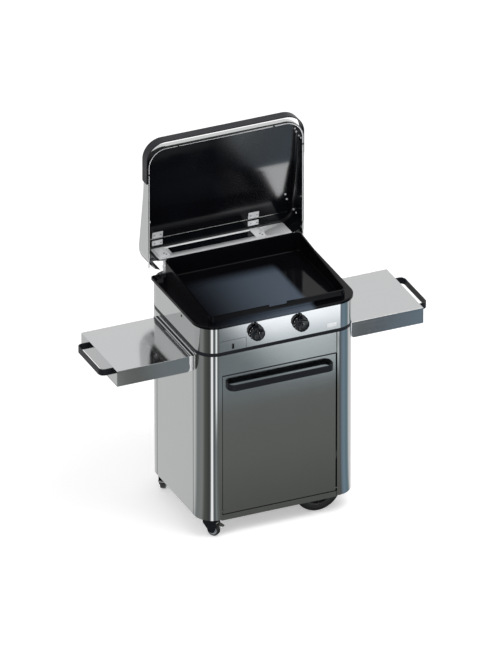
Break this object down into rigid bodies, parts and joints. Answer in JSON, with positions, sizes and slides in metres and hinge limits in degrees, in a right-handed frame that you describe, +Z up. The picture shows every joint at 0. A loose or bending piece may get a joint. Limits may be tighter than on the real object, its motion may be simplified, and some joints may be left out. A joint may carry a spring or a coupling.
{
  "type": "outdoor gas griddle station",
  "caption": "Outdoor gas griddle on a steel trolley with a hinged lid, fold-down side shelves, drop-down door, grease drawer, wheels and casters.",
  "frame": {"origin": "on the floor, in the middle of the trolley's cabinet", "axes": "+Z up, +X to the right as seen from the front, +Y to the back; the door and knobs face -Y"},
  "size_m": [1.373, 0.6395, 1.47],
  "materials": {
    "polished_steel": "polished stainless steel",
    "hidden_steel": "plain galvanised or stainless sheet",
    "black_enamel": "glossy black enamel",
    "black_powder": "satin black powder coat",
    "black_plastic": "satin black plastic",
    "seal_rubber": "black rubber",
    "gas_brass": "machined brass",
    "bright_zinc": "bright zinc plate",
    "wheel_moulding": "black tyre on a grey moulded hub"
  },
  "bodies": {
    "trolley": {"corner_post_front_left": "polished_steel", "corner_post_front_right": "polished_steel", "corner_post_rear_left": "polished_steel", "corner_post_rear_right": "polished_steel", "side_panel_left": "polished_steel", "side_panel_right": "polished_steel", "back_panel": "hidden_steel", "panel_screws": "bright_zinc", "floor_tray": "hidden_steel", "wheel_arches": "hidden_steel", "bottom_rail": "polished_steel", "fascia_panel": "polished_steel", "top_frame": "hidden_steel", "spacer_band": "black_powder", "door_hinge_pins": "bright_zinc", "wall_rail_left": "polished_steel", "wall_rail_right": "polished_steel", "wheel_axle": "bright_zinc", "axle_brackets": "hidden_steel", "caster_plates": "bright_zinc", "griddle_housing": "polished_steel", "control_panel": "polished_steel", "floor_pan": "hidden_steel", "burner_left": "hidden_steel", "burner_right": "hidden_steel", "gas_manifold": "gas_brass", "valve_body_left": "gas_brass", "valve_body_right": "gas_brass", "lid_hinge_brackets": "bright_zinc"},
    "door": {"door_skin": "polished_steel", "door_inner_panel": "hidden_steel", "door_handle": "black_powder"},
    "left_shelf": {"shelf_left": "polished_steel", "shelf_handle_left": "black_powder"},
    "right_shelf": {"shelf_right": "polished_steel", "shelf_handle_right": "black_powder"},
    "lid": {"lid_shell": "polished_steel", "lid_liner": "black_enamel", "lid_hinge_straps": "bright_zinc", "lid_rear_plate": "polished_steel", "lid_handle": "black_powder", "lid_bumpers": "seal_rubber", "lid_hinge_arms": "bright_zinc"},
    "left_plug": {"valve_plug_left": "gas_brass"},
    "left_knob": {"knob_left": "black_plastic", "knob_spindle_left": "bright_zinc"},
    "right_plug": {"valve_plug_right": "gas_brass"},
    "right_knob": {"knob_right": "black_plastic", "knob_spindle_right": "bright_zinc"},
    "grease_drawer": {"drawer_front": "polished_steel", "drawer_tray": "hidden_steel"},
    "cooking_plate": {"griddle_plate": "black_enamel"},
    "front_caster": {"caster_fork_front": "black_powder"},
    "front_caster_wheel": {"caster_wheel_front": "wheel_moulding"},
    "front_brake": {"brake_pedal_front": "bright_zinc"},
    "rear_caster": {"caster_fork_rear": "black_powder"},
    "rear_caster_wheel": {"caster_wheel_rear": "wheel_moulding"},
    "rear_brake": {"brake_pedal_rear": "bright_zinc"},
    "front_wheel": {"wheel_front": "wheel_moulding"},
    "rear_wheel": {"wheel_rear": "wheel_moulding"}
  },
  "joints": [
    {"name": "lid_hinge", "type": "hinge", "parent": "trolley", "child": "lid", "pos_m": [0, 0.254, 0.93], "axis": [-1, 0, 0], "range_deg": [-90, 0]},
    {"name": "door_hinge", "type": "hinge", "parent": "trolley", "child": "door", "pos_m": [0, -0.246, 0.104], "axis": [1, 0, 0], "range_deg": [0, 90]},
    {"name": "left_shelf_fold", "type": "hinge", "parent": "trolley", "child": "left_shelf", "pos_m": [-0.352, 0, 0.712], "axis": [0, -1, 0], "range_deg": [0, 90]},
    {"name": "right_shelf_fold", "type": "hinge", "parent": "trolley", "child": "right_shelf", "pos_m": [0.352, 0, 0.712], "axis": [0, 1, 0], "range_deg": [0, 90]},
    {"name": "left_knob_turn", "type": "hinge", "parent": "trolley", "child": "left_plug", "pos_m": [-0.1, -0.235, 0.864], "axis": [0, -1, 0], "range_deg": [0, 210]},
    {"name": "left_knob_push", "type": "slide", "parent": "left_plug", "child": "left_knob", "axis": [0, 1, 0], "range_m": [0, 0.004], "stiffness_N_per_m": 1200, "springref_m": -0.001},
    {"name": "right_knob_turn", "type": "hinge", "parent": "trolley", "child": "right_plug", "pos_m": [0.085, -0.235, 0.864], "axis": [0, -1, 0], "range_deg": [0, 210]},
    {"name": "right_knob_push", "type": "slide", "parent": "right_plug", "child": "right_knob", "axis": [0, 1, 0], "range_m": [0, 0.004], "stiffness_N_per_m": 1200, "springref_m": -0.001},
    {"name": "drawer_slide", "type": "slide", "parent": "trolley", "child": "grease_drawer", "axis": [0, -1, 0], "range_m": [0, 0.19]},
    {"name": "plate_lift", "type": "slide", "parent": "trolley", "child": "cooking_plate", "axis": [0, 0, 1], "range_m": [0, 0.12]},
    {"name": "front_caster_swivel", "type": "hinge", "parent": "trolley", "child": "front_caster", "pos_m": [-0.277, -0.212, 0.066], "axis": [0, 0, 1], "continuous": true},
    {"name": "front_caster_roll", "type": "hinge", "parent": "front_caster", "child": "front_caster_wheel", "pos_m": [-0.26438, -0.23002, 0.025], "axis": [0.8192, 0.5736, 0], "continuous": true},
    {"name": "front_brake_press", "type": "hinge", "parent": "front_caster", "child": "front_brake", "pos_m": [-0.25693, -0.24067, 0.0552], "axis": [0.8192, 0.5736, 0], "range_deg": [0, 10]},
    {"name": "rear_caster_swivel", "type": "hinge", "parent": "trolley", "child": "rear_caster", "pos_m": [-0.277, 0.212, 0.066], "axis": [0, 0, 1], "continuous": true},
    {"name": "rear_caster_roll", "type": "hinge", "parent": "rear_caster", "child": "rear_caster_wheel", "pos_m": [-0.28962, 0.19398, 0.025], "axis": [0.8192, -0.5736, 0], "continuous": true},
    {"name": "rear_brake_press", "type": "hinge", "parent": "rear_caster", "child": "rear_brake", "pos_m": [-0.29707, 0.18333, 0.0552], "axis": [0.8192, -0.5736, 0], "range_deg": [0, 10]},
    {"name": "front_wheel_roll", "type": "hinge", "parent": "trolley", "child": "front_wheel", "pos_m": [0.183, -0.201, 0.096], "axis": [0, 1, 0], "continuous": true},
    {"name": "rear_wheel_roll", "type": "hinge", "parent": "trolley", "child": "rear_wheel", "pos_m": [0.183, 0.201, 0.096], "axis": [0, 1, 0], "continuous": true}
  ]
}
